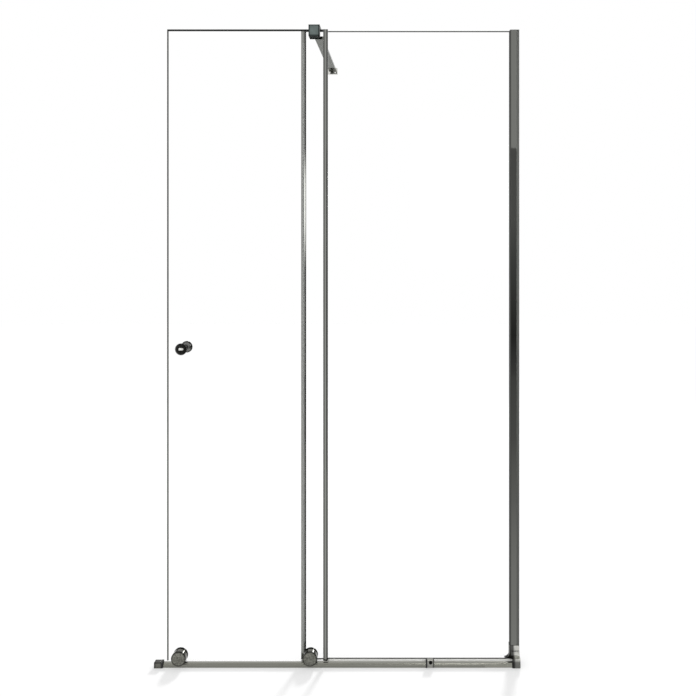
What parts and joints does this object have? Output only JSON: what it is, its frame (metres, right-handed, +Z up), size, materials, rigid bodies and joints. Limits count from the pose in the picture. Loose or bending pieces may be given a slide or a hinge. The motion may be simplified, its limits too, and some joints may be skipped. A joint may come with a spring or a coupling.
{
  "type": "sliding shower screen",
  "caption": "Frameless sliding shower screen: a glass door on grooved rollers runs along a low bottom rail in front of a fixed glass panel held by a wall profile and a stay bar.",
  "frame": {"origin": "on the tray, halfway along the bottom rail, in the mid-plane of the door glass", "axes": "+X along the rail towards the wall profile, +Y into the shower, +Z up"},
  "size_m": [1.116, 0.5585, 1.962],
  "materials": {
    "clear_glass": "toughened, clear, arrised edges",
    "polished_aluminium": "bright polished and anodised",
    "chrome_plate": "mirror chrome on castings and turned brass",
    "stainless_steel": "plain",
    "black_steel": "black oxide",
    "black_rubber": "matt",
    "white_nylon": "moulded",
    "black_acetal": "moulded",
    "clear_vinyl": "translucent",
    "grey_plastic": "moulded"
  },
  "bodies": {
    "frame": {"bottom_rail": "polished_aluminium", "channel_gaskets": "black_rubber", "channel_screws": "stainless_steel", "clamp_pads": "black_rubber", "clamp_screws": "stainless_steel", "corner_foot": "chrome_plate", "corner_foot_screw": "stainless_steel", "end_stop_buffer": "black_rubber", "end_stop_screw": "stainless_steel", "fixed_edge_fin": "clear_vinyl", "fixed_edge_profile": "polished_aluminium", "fixed_glass": "clear_glass", "glass_channel": "polished_aluminium", "glazing_gaskets": "black_rubber", "glazing_profile": "polished_aluminium", "guide_block": "chrome_plate", "guide_liner": "black_acetal", "open_stop_block": "chrome_plate", "open_stop_buffer": "black_rubber", "open_stop_clamp": "chrome_plate", "open_stop_screw": "black_steel", "profile_lock_screws": "stainless_steel", "rail_end_stop": "chrome_plate", "setting_blocks": "white_nylon", "stay_bar": "chrome_plate", "stay_foot": "chrome_plate", "stay_grub": "stainless_steel", "stay_screw": "stainless_steel", "wall_channel": "polished_aluminium", "wall_profile_cap": "grey_plastic"},
    "door": {"door_edge_fin": "clear_vinyl", "door_edge_profile": "polished_aluminium", "door_glass": "clear_glass", "knob_front": "chrome_plate", "knob_rear": "chrome_plate", "knob_sleeve": "white_nylon", "knob_stud": "stainless_steel", "knob_washers": "black_rubber", "left_bearing_inner": "stainless_steel", "left_roller_axle": "stainless_steel", "left_roller_cap": "chrome_plate", "left_roller_gaskets": "black_rubber", "left_roller_housing": "chrome_plate", "left_roller_hub": "chrome_plate", "left_roller_rear_disc": "chrome_plate", "right_bearing_inner": "stainless_steel", "right_roller_axle": "stainless_steel", "right_roller_cap": "chrome_plate", "right_roller_gaskets": "black_rubber", "right_roller_housing": "chrome_plate", "right_roller_hub": "chrome_plate", "right_roller_rear_disc": "chrome_plate"},
    "wheel_left": {"left_bearing_outer": "stainless_steel", "left_wheel": "white_nylon"},
    "wheel_right": {"right_bearing_outer": "stainless_steel", "right_wheel": "white_nylon"}
  },
  "joints": [
    {"name": "door_slide", "type": "slide", "parent": "frame", "child": "door", "axis": [1, 0, 0], "range_m": [-0.027, 0.33]},
    {"name": "wheel_left_spin", "type": "hinge", "parent": "door", "child": "wheel_left", "pos_m": [-0.484, -0.014, 0.028], "axis": [0, 1, 0], "range_deg": [-110, 1270]},
    {"name": "wheel_right_spin", "type": "hinge", "parent": "door", "child": "wheel_right", "pos_m": [-0.084, -0.014, 0.028], "axis": [0, 1, 0], "range_deg": [-110, 1270]}
  ],
  "couplings": [
    {"joint": "wheel_left_spin", "follows": "door_slide", "rad_per_m": 66.667},
    {"joint": "wheel_right_spin", "follows": "door_slide", "rad_per_m": 66.667}
  ]
}
